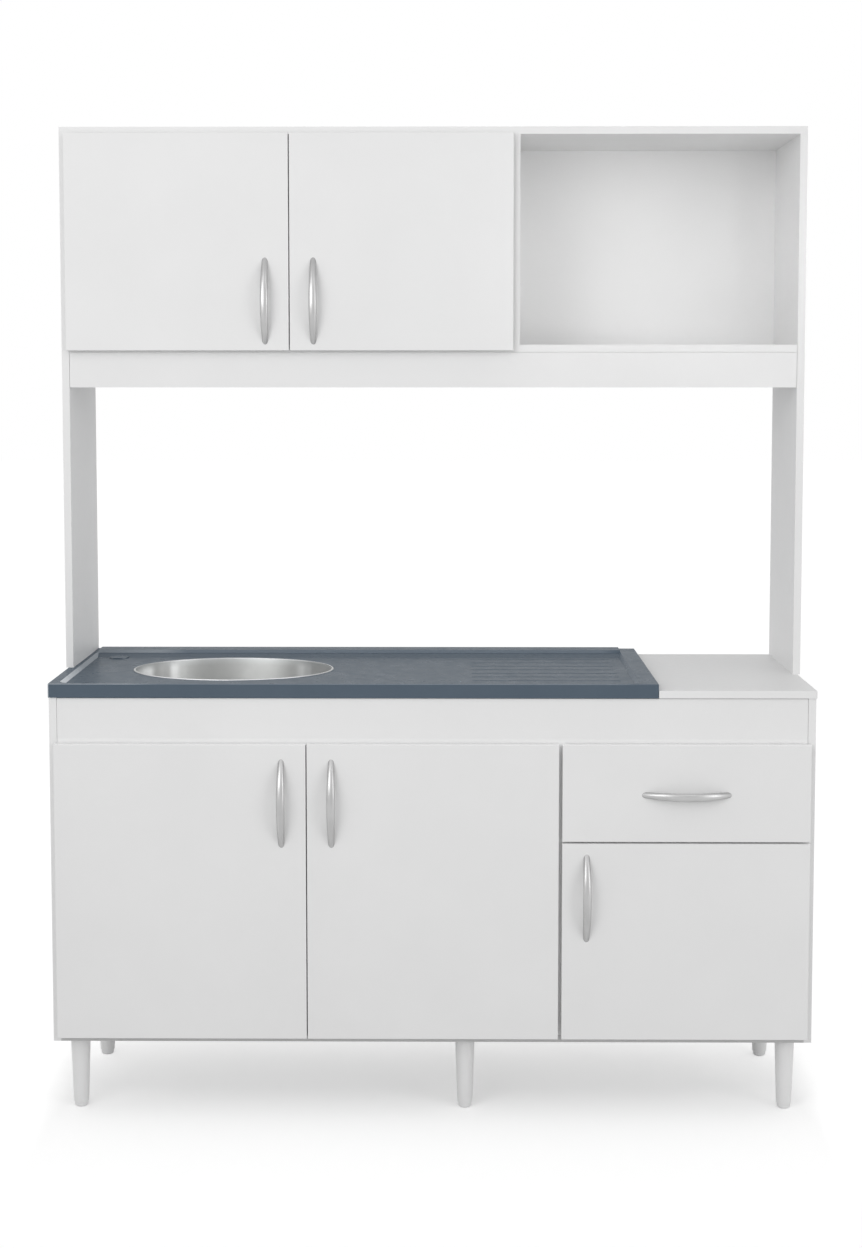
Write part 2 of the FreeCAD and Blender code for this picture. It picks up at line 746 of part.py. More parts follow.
def hinge_arm(overlay):
    """The arm and its plate, as two solids, for a door that covers so much of its side."""
    width, thickness = value("arm_width"), value("arm_thickness")
    lead, knee = math.radians(value("arm_lead_angle")), math.radians(value("arm_knee_angle"))
    first = vector(math.cos(lead), math.sin(lead), 0) * value("arm_lead")
    second = first + vector(math.cos(knee), math.sin(knee), 0) * value("arm_knee")
    third = vector(value("arm_standoff"), value("arm_tail_start"), 0)
    last = vector(value("arm_standoff"), value("arm_tail_end"), 0)
    points = (vector(), first, second, third, last)
    arm = Part.makeCylinder(value("eye_radius"), width, vector(0, 0, 0 - width / 2))
    arm = arm.multiFuse([strip(a, b, width, thickness) for a, b in zip(points, points[1:])])
    arm = arm.cut(Part.makeCylinder(value("pin_radius") + value("peg_fit"), width,
                                    vector(0, 0, 0 - width / 2)))
    side = overlay - value("pin_inset")
    broad = value("plate_width")
    plate = Part.makeBox(value("arm_standoff") - thickness / 2 - side,
                         value("plate_end") - value("plate_start"), broad,
                         vector(side, value("plate_start"), 0 - broad / 2))
    return [arm, plate]


def hinges(door, hung, edge, back, levels, overlay):
    """Both hinges of one door: its hung edge, its inner face and the two levels."""
    way = 1 if hung == "left" else -1
    pin_x = edge + way * value("pin_inset")
    pin_y = back - value("board") + value("pin_setback")
    cups, arms = [], []
    for level in levels:
        for found, solids in ((cups, [hinge_cup()]), (arms, hinge_arm(overlay))):
            for solid in solids:
                if way < 0:
                    solid = solid.mirror(vector(), vector(1, 0, 0))
                solid.translate(vector(pin_x, pin_y, level))
                found.append(solid)
    worked(f"{door}_hinge_cups", Part.Compound(cups))
    worked(f"{door}_hinge_arms", Part.Compound(arms))


# Doors and handles

def front_panel(name, start, back, bottom, width, height, bores):
    """A front board with its outer edges eased and any cup bores in its back."""
    blank = block(f"{name}_blank", (start, f"{back} - board", bottom), (width, "board", height))
    if bores:
        blank = cut_from(f"{name}_bored", blank,
                         [rod(f"{name}_bore_{number}", (across, f"{back} - cup_depth - loose_gap", level),
                              "cup_radius", "cup_depth + loose_gap + overrun", "y")
                          for number, (across, level) in enumerate(bores)])
    face = value(back) - value("board")
    keep(eased(name, blank, "door_edge", lambda box: near(box.YMin, face) and near(box.YMax, face)), name)


SECTION_SHARES = (-1.12, -0.85, -0.5, 0.0, 0.5, 0.85, 1.12)


def bow_handle(label, middle, face, upright):
    """A bow handle, thick and wide in its middle, cut flat where its two ends meet the door."""
    half, rise = value("handle_length") / 2, value("handle_reach") - value("handle_thickness") / 2
    foot = half - value("handle_tip_thickness")
    radius = (foot ** 2 + rise ** 2) / (2 * rise)
    spread = math.asin(foot / radius)
    sections = []
    for share in SECTION_SHARES:
        turn = share * spread
        blend = min(abs(share), 1.0) ** 2
        wide = value("handle_width") * (1 - blend) + value("handle_tip_width") * blend
        thick = value("handle_thickness") * (1 - blend) + value("handle_tip_thickness") * blend
        ring = Part.Ellipse(vector(), wide / 2, thick / 2).toShape()
        ring.Placement = FreeCAD.Placement(
            vector(0, 0 - rise + radius * (1 - math.cos(turn)), radius * math.sin(turn)),
            FreeCAD.Rotation(vector(1, 0, 0), 0 - math.degrees(turn)))
        sections.append(Part.Wire([ring]))
    bow = Part.makeLoft(sections, True, False)
    depth = value("handle_reach")
    behind = Part.makeBox(2 * half, depth, 4 * half, vector(0 - half, 0, 0 - 2 * half))
    bow = bow.cut(behind)
    if not upright:
        bow.rotate(vector(), vector(0, 1, 0), 90)
    bow.translate(vector(middle[0], face, middle[1]))
    worked(label, bow)


def door(name, hung, start, back, bottom, width, height, handle_end, overlay):
    """A hinged door with its hinges and handle; the handle's end is told from the top or bottom."""
    levels = (f"{bottom} + hinge_inset", f"{bottom} + {height} - hinge_inset")
    side = {"left": f"{start} + cup_edge + cup_radius",
            "right": f"{start} + {width} - cup_edge - cup_radius"}[hung]
    front_panel(f"{name}_door", start, back, bottom, width, height, [(side, level) for level in levels])
    left, low, wide, tall = value(start), value(bottom), value(width), value(height)
    end = value("hinge_inset")
    hinges(name, hung, left if hung == "left" else left + wide, value(back),
           (low + end, low + tall - end), value(overlay))
    across = left + wide - value("handle_inset") if hung == "left" else left + value("handle_inset")
    half = value("handle_length") / 2
    level = low + value(handle_end) + half
    if back == "door_back":
        level = low + tall - value(handle_end) - half
    bow_handle(f"{name}_handle", (across, level), value(back) - value("board"), True)


def doors():
    door("upper_left", "left", "upper_doors_start", "upper_door_back", "upper_doors_bottom",
         "upper_door_width", "upper_doors_height", "handle_end", "upper_side_overlay")
    door("upper_right", "right", "upper_right_door_start", "upper_door_back", "upper_doors_bottom",
         "upper_door_width", "upper_doors_height", "handle_end", "divider_overlay")
    door("base_left", "left", "left_door_start", "door_back", "doors_bottom",
         "tall_width", "tall_height", "tall_handle_end", "overlay")
    door("base_middle", "right", "middle_door_start", "door_back", "doors_bottom",
         "tall_width", "tall_height", "tall_handle_end", "overlay")
    door("base_right", "right", "right_front_start", "door_back", "doors_bottom",
         "right_front_width", "right_door_height", "short_handle_end", "overlay")


# Drawer on two grooved runners

def drawer():
    front_panel("drawer_front", "right_front_start", "door_back", "drawer_front_bottom",
                "right_front_width", "drawer_front_height", [])
    for name, start, groove, inner in (
            ("left", "drawer_left", "drawer_left", "drawer_left + drawer_side - drawer_bottom_groove"),
            ("right", "drawer_right - drawer_side", "drawer_right - drawer_groove", "drawer_right - drawer_side")):
        side = block(f"drawer_side_{name}_blank", (start, "door_back", "drawer_floor"),
                     ("drawer_side", "drawer_depth", "drawer_height"))
        grooves = [
            block(f"drawer_side_{name}_runner_groove", (groove, "door_back", "runner_bottom - loose_gap"),
                  ("drawer_groove", "drawer_depth", "runner_height + 2 * loose_gap")),
            block(f"drawer_side_{name}_bottom_groove", (inner, "door_back", "bottom_groove"),
                  ("drawer_bottom_groove", "drawer_depth", "hardboard")),
        ]
        keep(cut_from(f"drawer_side_{name}", side, grooves), f"drawer_side_{name}")
    board("drawer_bottom",
          ("drawer_inner_left - drawer_bottom_groove + loose_gap", "door_back", "bottom_groove"),
          ("drawer_inner_width + 2 * (drawer_bottom_groove - loose_gap)", "drawer_depth", "hardboard"))
    board("drawer_back",
          ("drawer_inner_left", "door_back + drawer_depth - drawer_side", "bottom_groove + hardboard"),
          ("drawer_inner_width", "drawer_side", "drawer_height - drawer_bottom_lift - hardboard"))
    strips = [block(f"runner_{name}", (across, "carcass_front + runner_setback", "runner_bottom"),
                    ("runner_thickness", "runner_length", "runner_height"))
              for name, across in (("left", "bay_start"), ("right", "inner_right - runner_thickness"))]
    group("drawer_runners", strips)
    bow_handle("drawer_handle", (value("right_front_start") + value("right_front_width") / 2,
                                 value("drawer_front_bottom") + value("drawer_front_height") / 2
                                 - value("drawer_handle_drop")),
               value("door_back") - value("board"), False)


def write_pieces():
    """Checks every object, then writes each piece to a file of its own."""
    doc.recompute()
    for thing in doc.Objects:
        if "Invalid" in thing.State or "Error" in thing.State:
            raise RuntimeError(f"{thing.Name} did not build: {thing.State}")
    os.makedirs("parts", exist_ok=True)
    for piece in pieces:
        if piece.Shape.isNull() or not piece.Shape.isValid() or not piece.Shape.Solids:
            raise RuntimeError(f"{piece.Label} is not a sound solid")
        piece.Shape.exportStep(os.path.join("parts", f"{piece.Label}.step"))
        print(piece.Label, len(piece.Shape.Solids), round(piece.Shape.Volume))


base_cabinet()
legs()
upper_unit()
side_worktop()
sink_top()
sink_bowl()
sink_waste()
doors()
drawer()
write_pieces()
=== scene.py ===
import json
import math

import bmesh
import bpy
from mathutils import Matrix, Vector


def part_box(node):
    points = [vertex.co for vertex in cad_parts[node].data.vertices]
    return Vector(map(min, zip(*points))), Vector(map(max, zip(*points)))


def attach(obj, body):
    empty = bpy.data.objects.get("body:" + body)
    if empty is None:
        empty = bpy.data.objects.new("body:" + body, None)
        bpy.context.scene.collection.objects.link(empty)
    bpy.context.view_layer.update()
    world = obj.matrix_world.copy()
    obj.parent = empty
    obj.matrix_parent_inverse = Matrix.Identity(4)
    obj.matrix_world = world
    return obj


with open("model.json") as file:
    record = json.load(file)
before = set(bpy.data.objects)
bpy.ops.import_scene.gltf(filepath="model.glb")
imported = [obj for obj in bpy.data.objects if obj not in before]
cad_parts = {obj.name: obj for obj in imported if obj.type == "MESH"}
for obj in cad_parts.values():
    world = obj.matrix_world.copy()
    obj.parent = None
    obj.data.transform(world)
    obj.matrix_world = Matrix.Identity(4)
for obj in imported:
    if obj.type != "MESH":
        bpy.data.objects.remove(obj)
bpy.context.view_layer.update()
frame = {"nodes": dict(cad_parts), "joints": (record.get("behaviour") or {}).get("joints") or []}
scene = bpy.context.scene


# Camera, at the photograph's viewing angle

PHOTO_HEIGHT = 1248
FOCAL_PIXELS = 1903.36
AXIS_ROW = 522.63  # the row of the photograph that the camera's axis meets
SENSOR = 36.0  # millimetres
CAMERA_PLACE = (0.0270, -3.9215, 1.4597)
CAMERA_TURN, CAMERA_DIP = -0.0078, 0.0752


def set_up(thing, place, direction):
    """Puts a camera or a lamp into the scene at a place, looking along a direction."""
    scene.collection.objects.link(thing)
    thing.location = place
    thing.rotation_euler = direction.to_track_quat("-Z", "Y").to_euler()


camera_data = bpy.data.cameras.new("camera")
camera_data.sensor_fit = "AUTO"
camera_data.sensor_width = SENSOR
camera_data.lens = FOCAL_PIXELS / PHOTO_HEIGHT * SENSOR
camera_data.shift_y = (AXIS_ROW - PHOTO_HEIGHT / 2) / PHOTO_HEIGHT
scene.camera = bpy.data.objects.new("camera", camera_data)
set_up(scene.camera, CAMERA_PLACE, Vector((math.sin(CAMERA_TURN) * math.cos(CAMERA_DIP),
                                           math.cos(CAMERA_TURN) * math.cos(CAMERA_DIP),
                                           -math.sin(CAMERA_DIP))))
scene.view_settings.view_transform = "Standard"


# Nodes and paints

NOISE_RANGE = (0.3, 0.7)  # where nearly all of a noise pattern's values lie


def grey(level):
    return (level, level, level)


class Nodes:
    """Makes and joins the nodes of one node tree."""

    def __init__(self, tree):
        self.tree = tree

    def node(self, kind, **settings):
        made = self.tree.nodes.new(kind)
        for name, setting in settings.items():
            setattr(made, name, setting)
        return made

    def feed(self, socket, source):
        """Joins a socket to another node's output, or sets it to a plain value."""
        if isinstance(source, bpy.types.NodeSocket):
            self.tree.links.new(source, socket)
        else:
            socket.default_value = source

    def maths(self, operation, *sources):
        made = self.node("ShaderNodeMath", operation=operation)
        for socket, source in zip(made.inputs, sources):
            self.feed(socket, source)
        return made.outputs["Value"]

    def times(self, first, *others):
        """The product of several values."""
        for other in others:
            first = self.maths("MULTIPLY", first, other)
        return first

    def most(self, first, *others):
        """The greatest of several values."""
        for other in others:
            first = self.maths("MAXIMUM", first, other)
        return first

    def ramp(self, source, start, end, low=0.0, high=1.0):
        """Goes from low to high as the source goes from start to end, and is level beyond."""
        made = self.node("ShaderNodeMapRange")
        for socket, value in (("Value", source), ("From Min", start), ("From Max", end),
                              ("To Min", low), ("To Max", high)):
            self.feed(made.inputs[socket], value)
        return made.outputs["Result"]

    def seen_directly(self):
        """1 for what the camera or a mirror sees, 0 for what lights the object."""
        path = self.node("ShaderNodeLightPath")
        return self.most(path.outputs["Is Camera Ray"], path.outputs["Is Glossy Ray"])


class Paint(Nodes):
    """A material whose colour, roughness and fine relief follow the object's own coordinates."""

    def __init__(self, name, **constants):
        self.material = bpy.data.materials.new(name)
        self.material.use_nodes = True
        super().__init__(self.material.node_tree)
        self.shader = self.tree.nodes["Principled BSDF"]
        for socket, value in constants.items():
            self.shader.inputs[socket.replace("_", " ")].default_value = value
        coordinates = self.node("ShaderNodeTexCoord")
        self.place = coordinates.outputs["Object"]
        self.direction = coordinates.outputs["Normal"]

    def noise(self, scale, detail=3.0, stretch=(1, 1, 1)):
        """A cloudy pattern, finer with a greater scale and squeezed along the axes by the stretch."""
        mapping = self.node("ShaderNodeMapping")
        self.feed(mapping.inputs["Vector"], self.place)
        self.feed(mapping.inputs["Scale"], stretch)
        made = self.node("ShaderNodeTexNoise")
        for socket, value in (("Vector", mapping.outputs["Vector"]), ("Scale", scale), ("Detail", detail)):
            self.feed(made.inputs[socket], value)
        return made.outputs["Fac"]

    def uneven(self, scale, low=0.0, high=1.0, detail=3.0, stretch=(1, 1, 1)):
        """Cloudy values between low and high."""
        return self.ramp(self.noise(scale, detail, stretch), *NOISE_RANGE, low, high)

    def between(self, share, first, second):
        """The first colour where the share is 0, the second where it is 1."""
        made = self.node("ShaderNodeMix", data_type="RGBA")
        self.feed(made.inputs["Factor"], share)
        for socket, tone in (("A", first), ("B", second)):
            self.feed(made.inputs[socket], (*tone, 1) if isinstance(tone, tuple) else tone)
        return made.outputs["Result"]

    def component(self, vector, axis):
        """One of a vector's three numbers."""
        parts = self.node("ShaderNodeSeparateXYZ")
        self.feed(parts.inputs["Vector"], vector)
        return parts.outputs[axis]

    def along(self, axis):
        """Where a point lies along an axis."""
        return self.component(self.place, axis)

    def distance(self, axis, middle):
        """How far a point lies from a plane across an axis."""
        return self.maths("ABSOLUTE", self.maths("SUBTRACT", self.along(axis), middle))

    def facing(self, axis):
        """How squarely the surface faces one way or the other along an axis, from 0 to 1."""
        return self.maths("ABSOLUTE", self.component(self.direction, axis))

    def squareness(self):
        """1 on a face square to any axis, and less where an edge is rounded."""
        return self.most(*(self.facing(axis) for axis in "XYZ"))

    def finished(self, colour, roughness, height, strength, depth):
        """The material, with its patterns joined to the shader and the height pattern as relief."""
        bump = self.node("ShaderNodeBump")
        for socket, value in (("Height", height), ("Strength", strength), ("Distance", depth)):
            self.feed(bump.inputs[socket], value)
        for socket, source in (("Base Color", colour), ("Roughness", roughness),
                               ("Normal", bump.outputs["Normal"])):
            self.feed(self.shader.inputs[socket], source)
        return self.material


# Materials

TONE_PATCHES = 6.0  # scale of the slow change between a surface's two close tones
GRAINS_PER_PATCH = 12  # how much finer the skin is than the patches of gloss
FINE_SKIN = {"strength": 0.35, "depth": 0.00004}
LEAST_ROUGH, MOST_ROUGH = 0.85, 1.15  # in shares of a surface's middle roughness
BOARD_SHEEN = 0.12
BOARD_TONES = (grey(0.84), grey(0.82))
BOARD_GRAIN = 900.0
BANDED_ROUGHNESS = (0.38, 0.52)


def plain_surface(name, tones, grain, roughness, **constants):
    """A moulded, lacquered or plated surface: two close tones, uneven gloss and a fine skin."""
    paint = Paint(name, **constants)
    return paint.finished(
        paint.between(paint.uneven(TONE_PATCHES, detail=4.0), *tones),
        paint.uneven(grain / GRAINS_PER_PATCH, roughness * LEAST_ROUGH, roughness * MOST_ROUGH),
        paint.noise(grain, 2.0), **FINE_SKIN)


def board_with_painted_light(name, measure, axis, start, end, band):
    """White board that turns to a painted tone of light or shade as a measure along an axis goes from start
    to end.
    """
    paint = Paint(name, Specular_IOR_Level=BOARD_SHEEN)
    face = paint.between(paint.uneven(TONE_PATCHES, detail=4.0), *BOARD_TONES)
    return paint.finished(
        paint.between(paint.ramp(measure(paint, axis), start, end), face, grey(band)),
        paint.uneven(BOARD_GRAIN / GRAINS_PER_PATCH, *BANDED_ROUGHNESS),
        paint.noise(BOARD_GRAIN, 2.0), **FINE_SKIN)


white_board = plain_surface("white_melamine", BOARD_TONES, BOARD_GRAIN, 0.45, Specular_IOR_Level=BOARD_SHEEN)
# The painted tone stands for light and shade: it is on the narrow faces of the doors, the front and rear
# edges of the divider and the bottom board, the flat faces of the short worktop and the lowest part of the
# front rail
# Paler narrow faces of the doors and the drawer front: painted light in the gaps and on the top edges
door_board = board_with_painted_light("door_board", Paint.facing, "Y", 0.7, 0.3, 0.95)
# Paler front and rear edges of the divider: painted light where it shows through the gap between the doors
divider_board = board_with_painted_light("divider_board", Paint.facing, "Y", 0.6, 0.9, 0.93)
# Darker front and rear edges of the bottom board: painted shadow of the base doors
bottom_board = board_with_painted_light("bottom_board", Paint.facing, "Y", 0.6, 0.9, 0.58)
# Darker flat faces of the short worktop: painted shade on its top
worktop_board = board_with_painted_light("worktop_board", Paint.facing, "Z", 0.5, 0.9, 0.80)
# Paler lowest part of the front rail: painted light over the shadow line above the base doors
rail_board = board_with_painted_light("rail_board", Paint.along, "Z", 0.757, 0.749, 0.93)
BOARDS = (white_board, door_board, divider_board, bottom_board, worktop_board, rail_board)

white_panel = plain_surface("white_hardboard", (grey(0.90), grey(0.88)), 500.0, 0.5, Specular_IOR_Level=0.3)
white_plastic = plain_surface("white_plastic", (grey(0.84), grey(0.81)), 700.0, 0.33)
grey_plastic = plain_surface("grey_plastic", (grey(0.60), grey(0.55)), 500.0, 0.55)
steel = plain_surface("plated_steel", ((0.62, 0.62, 0.61), (0.55, 0.55, 0.54)), 1200.0, 0.32, Metallic=1.0)
beech = plain_surface("beech", ((0.60, 0.43, 0.26), (0.50, 0.34, 0.19)), 400.0, 0.6)


BLUE_GREYS = ((0.096, 0.126, 0.160), (0.104, 0.135, 0.170))
# Tones of the painted highlight on the sink top's rounded edges, grey at most places and whiter at the left
# end
HIGHLIGHT_GREY, HIGHLIGHT_WHITE = (0.34, 0.38, 0.43), (0.80, 0.84, 0.88)


def gel_coat_of_sink():
    """Blue-grey gel coat, with a paler painted highlight on its rounded edges, most of all at the front left.
    """
    paint = Paint("gel_coat", Specular_IOR_Level=0.017)
    whole = paint.between(paint.uneven(9.0, detail=5.0), *BLUE_GREYS)
    # Painted highlight: the rounded edges are paler, less so towards the wall and at the right border
    painted_highlight = paint.times(
        paint.ramp(paint.squareness(), 0.76, 0.92, 1.0, 0.0),  # only rounded edges
        paint.ramp(paint.along("Y"), -0.20, 0.02, 1.0, 0.3),  # less towards the wall
        paint.ramp(paint.along("X"), 0.37, 0.40, 1.0, 0.25))  # less at the right border
    # The painted highlight turns whiter at the left end
    left_end = paint.ramp(paint.along("X"), -0.60, -0.54, 1.0, 0.0)
    return paint.finished(
        paint.between(painted_highlight, whole, paint.between(left_end, HIGHLIGHT_GREY, HIGHLIGHT_WHITE)),
        paint.uneven(40.0, 0.26, 0.34, detail=4.0),
        paint.noise(60.0), 0.15, 0.00005)


BOWL_MIDDLE = -0.415
WALL_TOP, LIP_BOTTOM, LIP_TOP = 0.8440, 0.8560, 0.8572
DRAWN_STEELS = ((0.39, 0.395, 0.39), (0.33, 0.335, 0.33))
# Tones of the painted reflection bands at the bowl's ends and of the painted highlights on the wall's top and
# the lip
REFLECTION_BAND_STEEL, WALL_TOP_HIGHLIGHT_STEEL, LIP_HIGHLIGHT_STEEL = (0.85, 0.86, 0.86), (0.42, 0.43, 0.43), (0.85, 0.86, 0.87)


def drawn_steel():
    """Steel of the bowl and strainer, with paler painted reflection bands at the bowl's ends and paler
    painted highlights on its wall's top and its lip.
    """
    paint = Paint("bowl_steel", Metallic=1.0)
    off_middle = paint.distance("X", BOWL_MIDDLE)
    level = paint.along("Z")
    tone = paint.between(paint.uneven(12.0, detail=4.0), *DRAWN_STEELS)
    # Painted reflection: pale streaks at the bowl's ends
    bands = paint.ramp(paint.noise(26.0, 1.0, (1, 0.3, 0.05)), 0.44, 0.60, 0.2, 1.0)
    ends = paint.times(paint.ramp(off_middle, 0.11, 0.16), bands)
    tone = paint.between(ends, tone, REFLECTION_BAND_STEEL)
    # Painted highlight on the top of the bowl's wall
    tone = paint.between(paint.ramp(level, WALL_TOP, LIP_BOTTOM), tone, WALL_TOP_HIGHLIGHT_STEEL)
    # Painted highlight on the lip, fading towards the bowl's ends
    lip = paint.times(paint.ramp(level, LIP_BOTTOM, LIP_TOP), paint.ramp(off_middle, 0.13, 0.20, 1.0, 0.1))
    return paint.finished(
        paint.between(lip, tone, LIP_HIGHLIGHT_STEEL),
        paint.uneven(300.0, 0.34, 0.46, stretch=(1, 8, 8)),
        paint.noise(700.0, 2.0, (0.1, 1, 1)), 0.15, 0.00005)


def satin_of_handles():
    """Satin silver metal with a very fine grain."""
    paint = Paint("satin_metal", Metallic=1.0)
    return paint.finished(
        paint.between(paint.uneven(30.0), grey(0.48), grey(0.43)),
        paint.uneven(400.0, 0.28, 0.36),
        paint.noise(1500.0, 2.0), 0.2, 0.00003)


gel_coat = gel_coat_of_sink()
bowl_steel = drawn_steel()
satin_metal = satin_of_handles()

SURFACES = {
    "sink_top": gel_coat,
    "sink_bowl": bowl_steel,
    "waste_strainer": bowl_steel,
    "sink_waste": grey_plastic,
    "waste_nut": grey_plastic,
    "leg_studs": steel,
    "shelf_pins": steel,
    "leg_glides": white_plastic,
    "drawer_runners": white_plastic,
    "upright_dowels": beech,
    "base_bottom": bottom_board,
    "base_divider": divider_board,
    "side_worktop": worktop_board,
    "front_rail": rail_board,
    "drawer_front": door_board,
    "base_back": white_panel,
    "upper_back": white_panel,
    "drawer_bottom": white_panel,
}


def surface_of(name):
    """The material of one node, from the table or else from its name."""
    if name in SURFACES:
        return SURFACES[name]
    if name.endswith("_handle"):
        return satin_metal
    if "hinge" in name:
        return steel
    if name.startswith("leg_"):
        return white_plastic
    if name.endswith("_door"):
        return door_board
    return white_board


EDGE_ROUNDING = 0.0004

for name, node in frame["nodes"].items():
    surface = surface_of(name)
    node.data.materials.clear()
    node.data.materials.append(surface)
    if surface in BOARDS:
        edge = node.modifiers.new("edge", "BEVEL")
        edge.width = EDGE_ROUNDING
        edge.segments = 2
        edge.limit_method = "ANGLE"


# Small fasteners

# A screw's head, in shares of its radius: its rings, the ring at its foot, its height and its cross
HEAD_RINGS = (0.0, 0.15, 0.3, 0.42, 0.5, 0.58, 0.66, 0.8, 0.93, 1.0)
HEAD_FOOT, HEAD_RISE = 0.97, 0.42
HEAD_SPAN = 1.02  # above 1, so that the rim keeps a little height
CROSS_HALF_WIDTH, CROSS_REACH, CROSS_END, CROSS_DEPTH = 0.13, 0.6, 0.62, 0.5
DOME_ANGLES = (0.4, 0.8, 1.1, 1.35, math.pi / 2)


def turned_mesh(name, profile, sides):
    """A form turned about Z from (radius, height) pairs that begin on the axis."""
    mesh = bpy.data.meshes.new(name)
    form = bmesh.new()
    top = form.verts.new((0, 0, profile[0][1]))
    rings = []
    for radius, height in profile[1:]:
        rings.append([form.verts.new((radius * math.cos(2 * math.pi * i / sides),
                                      radius * math.sin(2 * math.pi * i / sides), height))
                      for i in range(sides)])
    for i in range(sides):
        after = (i + 1) % sides
        form.faces.new((top, rings[0][i], rings[0][after]))
        for inner, outer in zip(rings, rings[1:]):
            form.faces.new((inner[i], outer[i], outer[after], inner[after]))
    form.to_mesh(mesh)
    form.free()
    return mesh


def screw_head(radius):
    """A domed head with a cross recess that runs to a point in its middle."""
    profile = [(radius * ring, radius * HEAD_RISE * math.sqrt(HEAD_SPAN - ring ** 2)) for ring in HEAD_RINGS]
    profile.append((radius * HEAD_FOOT, 0.0))
    mesh = turned_mesh("screw_head", profile, sides=32)
    for corner in mesh.vertices:
        across = min(abs(corner.co.x), abs(corner.co.y)) / radius
        out = corner.co.xy.length / radius
        if across < CROSS_HALF_WIDTH and out < CROSS_REACH:
            corner.co.z -= radius * CROSS_DEPTH * (1 - out / CROSS_END)
    return mesh


def domed_head(radius, rise):
    """A smooth low dome."""
    profile = [(0.0, rise)] + [(radius * math.sin(a), rise * math.cos(a)) for a in DOME_ANGLES]
    return turned_mesh("domed_head", profile, sides=24)


def fixed(name, mesh, spots, outward, body, material=steel):
    """Copies of one small form that all face one way, joined as one piece that rides on a body."""
    turned = Vector(outward).to_track_quat("Z", "Y").to_matrix().to_4x4()
    whole = bmesh.new()
    for spot in spots:
        copy = mesh.copy()
        copy.transform(Matrix.Translation(spot) @ turned)
        whole.from_mesh(copy)
        bpy.data.meshes.remove(copy)
    made = bpy.data.meshes.new(name)
    whole.to_mesh(made)
    whole.free()
    made.shade_smooth()
    piece = bpy.data.objects.new(name, made)
    scene.collection.objects.link(piece)
    piece.data.materials.append(material)
    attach(piece, body)


# Screws of the hinges and handles

BACKWARDS = (0, 1, 0)
HINGE_FROM_END = 0.090  # from a door's end to the middle of a hinge
# From the hinge pin: along the door, behind it, and up or down from the middle of the hinge
WING_SCREW = Vector((0.0115, 0.0092, 0.0245))
ARM_SCREW_SIDE, ARM_SCREW_DEPTHS = 0.005, (0.050, 0.066)  # from the hinge pin, on the plate
HANDLE_SCREW = 0.079  # from the middle of a handle

small_head = screw_head(0.0033)
wide_head = screw_head(0.0042)
pins = {joint["child"]: Vector(joint["pos_m"]) for joint in frame["joints"] if joint["type"] == "hinge"}
for leaf, pin in pins.items():
    name = leaf.removesuffix("_leaf")
    low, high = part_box(f"{name}_door")
    way = 1 if pin.x - low.x < high.x - pin.x else -1
    levels = (low.z + HINGE_FROM_END, high.z - HINGE_FROM_END)
    fixed(f"{name}_wing_screws", small_head,
          [(pin.x + way * WING_SCREW.x, pin.y + WING_SCREW.y, level + side * WING_SCREW.z)
           for level in levels for side in (-1, 1)], BACKWARDS, leaf)
    fixed(f"{name}_arm_screws", small_head,
          [(pin.x + way * ARM_SCREW_SIDE, pin.y + depth, level)
           for level in levels for depth in ARM_SCREW_DEPTHS], (way, 0, 0), "cabinet")
    middle = sum(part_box(f"{name}_handle"), Vector()) / 2
    fixed(f"{name}_handle_screws", wide_head,
          [(middle.x, high.y, middle.z + side * HANDLE_SCREW) for side in (-1, 1)], BACKWARDS, leaf)

middle = sum(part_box("drawer_handle"), Vector()) / 2
behind_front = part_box("drawer_front")[1].y
fixed("drawer_handle_screws", wide_head,
      [(middle.x + side * HANDLE_SCREW, behind_front, middle.z) for side in (-1, 1)], BACKWARDS, "drawer_box")


# Nails round the two back panels, along the middles of the boards in front of them

BOARD = 0.015
RAIL_TO_NAILS = 0.0475  # from the top of the base's back down to the nails in the rear rail
NAIL_COLUMN_ENDS = (0.09, 0.13)  # from the bottom and from the top of a panel
NAILS_ACROSS, NAILS_UP = 11, 4

nail_head = domed_head(0.002, 0.0004)


def evenly(start, end, count):
    """So many numbers from start to end at equal steps."""
    return [start + (end - start) * i / (count - 1) for i in range(count)]


for panel, divider, below_top in (("base_back", "base_divider", RAIL_TO_NAILS),
                                  ("upper_back", "upper_divider", BOARD / 2)):
    low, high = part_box(panel)
    column = sum(corner.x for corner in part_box(divider)) / 2
    spots = [(x, high.y, z) for z in (low.z + BOARD / 2, high.z - below_top)
             for x in evenly(low.x + BOARD, high.x - BOARD, NAILS_ACROSS)]
    spots += [(column, high.y, z)
              for z in evenly(low.z + NAIL_COLUMN_ENDS[0], high.z - NAIL_COLUMN_ENDS[1], NAILS_UP)]
    fixed(f"{panel}_nails", nail_head, spots, BACKWARDS, "cabinet")


# Cover caps on the outer side boards, at the level of the boards that are screwed to them

# How far the caps lie behind a side board's front edge
BASE_CAPS, RAIL_CAPS, UPPER_CAPS = (0.05, 0.25, 0.44), (0.0075, 0.4865), (0.04, 0.24)

cap = domed_head(0.0065, 0.0008)
for side_board, way, rows in (
        ("base_side_left", -1, {"base_bottom": BASE_CAPS, "front_rail": RAIL_CAPS}),
        ("base_side_right", 1, {"base_bottom": BASE_CAPS, "front_rail": RAIL_CAPS}),
        ("upright_left", -1, {"upper_bottom": UPPER_CAPS, "upper_top": UPPER_CAPS}),
        ("upright_right", 1, {"upper_bottom": UPPER_CAPS, "upper_top": UPPER_CAPS})):
    low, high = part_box(side_board)
    face = low.x if way < 0 else high.x
    spots = []
    for board, depths in rows.items():
        middle = sum(corner.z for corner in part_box(board)) / 2
        spots += [(face, low.y + depth, middle) for depth in depths]
    fixed(f"{side_board}_caps", cap, spots, (way, 0, 0), "cabinet", white_plastic)


# Floor and surroundings

FLOOR_SIZE = 60.0
FLOOR_TONE = 0.76
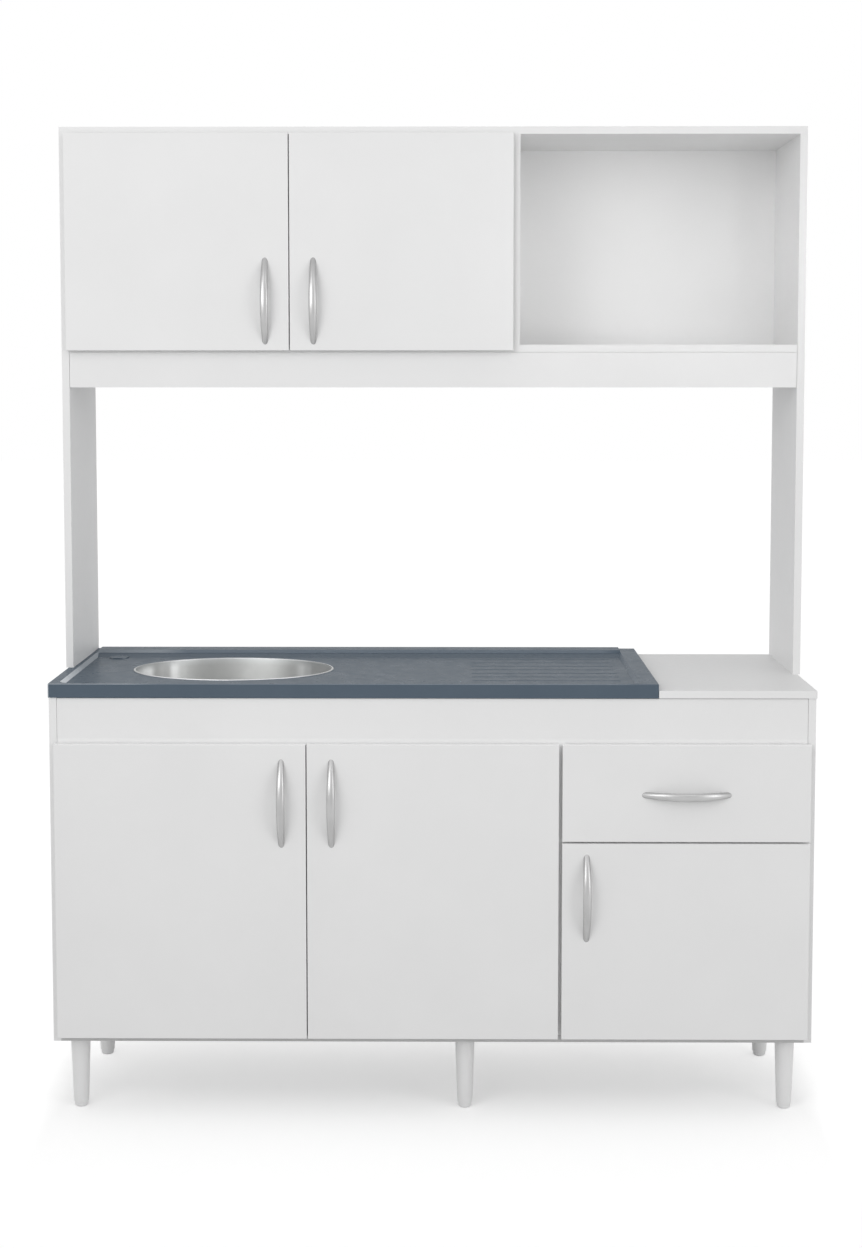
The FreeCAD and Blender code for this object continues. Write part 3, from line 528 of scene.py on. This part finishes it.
# What the camera and mirrors see added to the floor: least below the unit, a little more in
# front of it, most behind it, beside it and far away, so that the low lift below and just in front of the
# unit is painted shade
LEAST_LIFT, FRONT_LIFT, MOST_LIFT = 0.33, 0.40, 0.52
SKY_LIGHT, SKY_SEEN = 0.67, 1.0


def floor_material():
    """A matt pale ground that is seen lifted to white and still keeps the unit's shadow, with less lift below
    and just in front of the unit as painted shade.
    """
    paint = Paint("pale_floor", Roughness=0.9, Specular_IOR_Level=0.0,
                  Base_Color=(*grey(FLOOR_TONE), 1), Emission_Color=(*grey(1), 1))
    away = paint.node("ShaderNodeVectorMath", operation="LENGTH")
    paint.feed(away.inputs[0], paint.place)
    # Painted shade: the lift is lowest below the unit and just in front of it
    lift = paint.most(
        paint.ramp(away.outputs["Value"], 0.5, 2.2, LEAST_LIFT, MOST_LIFT),  # far away
        paint.ramp(paint.along("Y"), -0.09, 0.165, LEAST_LIFT, MOST_LIFT),  # behind
        paint.ramp(paint.along("Y"), -0.27, -0.15, FRONT_LIFT, LEAST_LIFT),  # in front
        paint.ramp(paint.distance("X", 0), 0.73, 0.80, LEAST_LIFT, MOST_LIFT))  # beside
    paint.feed(paint.shader.inputs["Emission Strength"], paint.times(paint.seen_directly(), lift))
    return paint.material


half = FLOOR_SIZE / 2
corners = [(-half, -half, 0), (half, -half, 0), (half, half, 0), (-half, half, 0)]
floor_mesh = bpy.data.meshes.new("floor")
floor_mesh.from_pydata(corners, [], [(0, 1, 2, 3)])
floor_mesh.materials.append(floor_material())
floor = bpy.data.objects.new("floor", floor_mesh)
scene.collection.objects.link(floor)

scene.world = bpy.data.worlds.new("studio")
scene.world.use_nodes = True
sky = Nodes(scene.world.node_tree)
strength = sky.node("ShaderNodeMix")
for socket, value in (("Factor", sky.seen_directly()), ("A", SKY_LIGHT), ("B", SKY_SEEN)):
    sky.feed(strength.inputs[socket], value)
background = sky.tree.nodes["Background"]
sky.feed(background.inputs["Color"], (*grey(1), 1))
sky.feed(background.inputs["Strength"], strength.outputs["Result"])


# Lamps: place, point aimed at, width and height, watts, spread in degrees

LAMPS = {
    "right_light": ((4.0, -3.5, 1.8), (0, 0, 1.1), (2.0, 3.0), 33.0, 180.0),
    "upper_left_light": ((-1.8, -3.0, 2.2), (0, 0, 1.7), (2.2, 1.8), 10.3, 100.0),
    "high_left_light": ((-1.3, -2.7, 3.5), (0, 0, 0.9), (0.7, 1.3), 4.2, 180.0),
    "high_right_light": ((1.1, -2.7, 3.5), (0, 0, 0.9), (0.7, 1.3), 4.2, 180.0),
    "niche_right_light": ((1.30, -2.4, 1.40), (0.40, 0.25, 1.72), (0.6, 0.5), 0.09, 15.0),
    "niche_left_light": ((-1.60, -1.9, 1.50), (0.735, 0.10, 1.74), (0.2, 0.2), 0.026, 8.0),
}

for name, (place, target, size, watts, spread) in LAMPS.items():
    lamp = bpy.data.lights.new(name, "AREA")
    lamp.shape = "RECTANGLE"
    lamp.size, lamp.size_y = size
    lamp.energy = watts
    lamp.spread = math.radians(spread)
    set_up(bpy.data.objects.new(name, lamp), place, Vector(target) - Vector(place))
